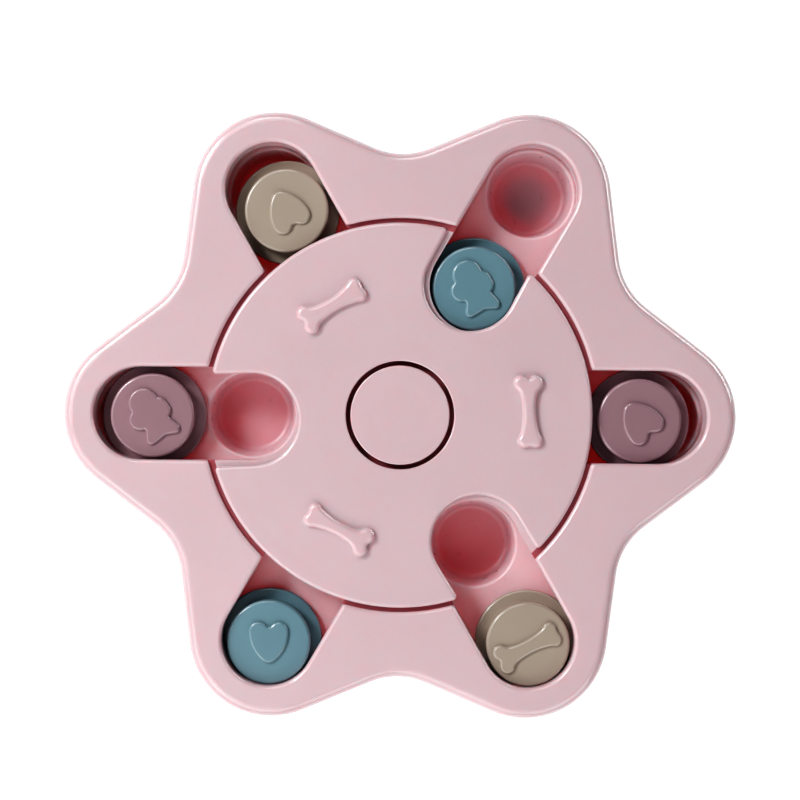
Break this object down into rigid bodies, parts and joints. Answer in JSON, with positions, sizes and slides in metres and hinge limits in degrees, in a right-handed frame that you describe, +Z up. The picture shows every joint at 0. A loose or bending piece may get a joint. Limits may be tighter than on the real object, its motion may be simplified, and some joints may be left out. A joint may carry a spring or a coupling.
{
  "type": "dog puzzle feeder toy",
  "caption": "Star-shaped dog puzzle feeder with treat cups under sliding round covers and a notched turntable that opens or shuts the inner cups.",
  "frame": {"origin": "centre of the footprint on the floor the rubber feet stand on", "axes": "+Z up through the turntable, +X along the first channel towards the tip of its lobe"},
  "size_m": [0.26, 0.2336, 0.0374],
  "materials": {
    "pink_plastic": "satin",
    "blue_plastic": "satin",
    "beige_plastic": "satin",
    "mauve_plastic": "satin",
    "foot_rubber": "matte",
    "screw_steel": "bright"
  },
  "bodies": {
    "base": {"base_tray": "pink_plastic", "top_cover": "pink_plastic", "hub_cap": "pink_plastic", "cover_screws": "screw_steel", "hub_screw": "screw_steel", "rubber_foot_1": "foot_rubber", "rubber_foot_2": "foot_rubber", "rubber_foot_3": "foot_rubber", "rubber_foot_4": "foot_rubber", "rubber_foot_5": "foot_rubber", "rubber_foot_6": "foot_rubber"},
    "turntable": {"turntable": "pink_plastic"},
    "slider_1": {"slider_1": "mauve_plastic"},
    "slider_2": {"slider_2": "blue_plastic"},
    "slider_3": {"slider_3": "beige_plastic"},
    "slider_4": {"slider_4": "mauve_plastic"},
    "slider_5": {"slider_5": "blue_plastic"},
    "slider_6": {"slider_6": "beige_plastic"}
  },
  "joints": [
    {"name": "turntable_spin", "type": "hinge", "parent": "base", "child": "turntable", "pos_m": [0, 0, 0.035], "axis": [0, 0, 1], "continuous": true},
    {"name": "slide_1", "type": "slide", "parent": "base", "child": "slider_1", "axis": [1, 0, 0], "range_m": [-0.03538, 0.00808]},
    {"name": "slide_2", "type": "slide", "parent": "base", "child": "slider_2", "axis": [0.5, 0.866, 0], "range_m": [-0.00045, 0.04482]},
    {"name": "slide_3", "type": "slide", "parent": "base", "child": "slider_3", "axis": [-0.5, 0.866, 0], "range_m": [-0.03391, 0.01095]},
    {"name": "slide_4", "type": "slide", "parent": "base", "child": "slider_4", "axis": [-1, 0, 0], "range_m": [-0.03915, 0.00559]},
    {"name": "slide_5", "type": "slide", "parent": "base", "child": "slider_5", "axis": [-0.5, -0.866, 0], "range_m": [-0.04482, 0]},
    {"name": "slide_6", "type": "slide", "parent": "base", "child": "slider_6", "axis": [0.5, -0.866, 0], "range_m": [-0.04506, 0]}
  ]
}
